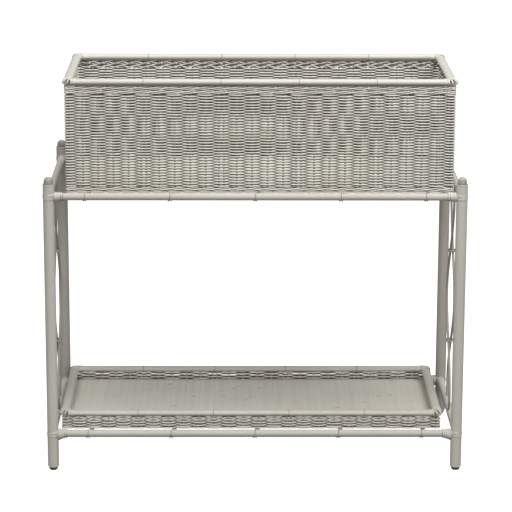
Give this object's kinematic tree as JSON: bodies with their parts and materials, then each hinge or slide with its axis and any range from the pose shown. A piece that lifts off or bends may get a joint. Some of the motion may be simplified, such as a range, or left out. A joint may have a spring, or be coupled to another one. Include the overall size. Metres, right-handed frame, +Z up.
{
  "type": "raised planter on legs",
  "caption": "Long woven cane planter box resting on a wrapped dowel stand, with a shallow woven tray on the lower rungs and crossing bent-cane braces at each end.",
  "frame": {"origin": "on the floor, under the middle of the stand", "axes": "+X along the length to the right, -Y out of the front, +Z up"},
  "size_m": [0.7846, 0.369, 0.7451],
  "materials": {
    "painted_cane": "satin grey-white paint over binding cane",
    "painted_dowel": "satin grey-white paint over turned dowel",
    "painted_reed": "satin grey-white paint over woven round reed, darker in the gaps",
    "painted_floor_weave": "thick grey paint that fills a close weave",
    "glide_steel": "dark worn steel"
  },
  "bodies": {
    "stand": {"brace_lashings": "painted_cane", "foot_glides": "glide_steel", "left_front_brace": "painted_cane", "left_rear_brace": "painted_cane", "leg_core_front_left": "painted_dowel", "leg_core_front_right": "painted_dowel", "leg_core_rear_left": "painted_dowel", "leg_core_rear_right": "painted_dowel", "leg_wrap_front_left": "painted_cane", "leg_wrap_front_right": "painted_cane", "leg_wrap_rear_left": "painted_cane", "leg_wrap_rear_right": "painted_cane", "lower_front_rail": "painted_dowel", "lower_joint_bindings": "painted_cane", "lower_left_rail": "painted_dowel", "lower_rail_ties": "painted_cane", "lower_rear_rail": "painted_dowel", "lower_right_rail": "painted_dowel", "lower_rung_1": "painted_dowel", "lower_rung_2": "painted_dowel", "lower_rung_3": "painted_dowel", "lower_rung_4": "painted_dowel", "lower_rung_5": "painted_dowel", "right_front_brace": "painted_cane", "right_rear_brace": "painted_cane", "upper_front_rail": "painted_dowel", "upper_joint_bindings": "painted_cane", "upper_left_rail": "painted_dowel", "upper_rail_ties": "painted_cane", "upper_rear_rail": "painted_dowel", "upper_right_rail": "painted_dowel", "upper_rung_1": "painted_dowel", "upper_rung_2": "painted_dowel", "upper_rung_3": "painted_dowel", "upper_rung_4": "painted_dowel", "upper_rung_5": "painted_dowel"},
    "planter": {"planter_bottom_frame": "painted_dowel", "planter_corner_bindings": "painted_cane", "planter_floor": "painted_floor_weave", "planter_posts": "painted_dowel", "planter_rim_front": "painted_dowel", "planter_rim_left": "painted_dowel", "planter_rim_rear": "painted_dowel", "planter_rim_right": "painted_dowel", "planter_wall_front": "painted_reed", "planter_wall_left": "painted_reed", "planter_wall_rear": "painted_reed", "planter_wall_right": "painted_reed"},
    "tray": {"tray_bottom_frame": "painted_dowel", "tray_corner_bindings": "painted_cane", "tray_floor": "painted_floor_weave", "tray_gallery_front": "painted_reed", "tray_gallery_left": "painted_reed", "tray_gallery_rear": "painted_reed", "tray_gallery_right": "painted_reed", "tray_posts": "painted_dowel", "tray_rim_front": "painted_dowel", "tray_rim_left": "painted_dowel", "tray_rim_rear": "painted_dowel", "tray_rim_right": "painted_dowel"}
  },
  "joints": [
    {"name": "planter_lift", "type": "slide", "parent": "stand", "child": "planter", "axis": [0, 0, 1], "range_m": [0, 0.15]},
    {"name": "tray_lift_out", "type": "slide", "parent": "stand", "child": "tray", "axis": [0, -0.866, 0.5], "range_m": [0, 0.42]}
  ]
}
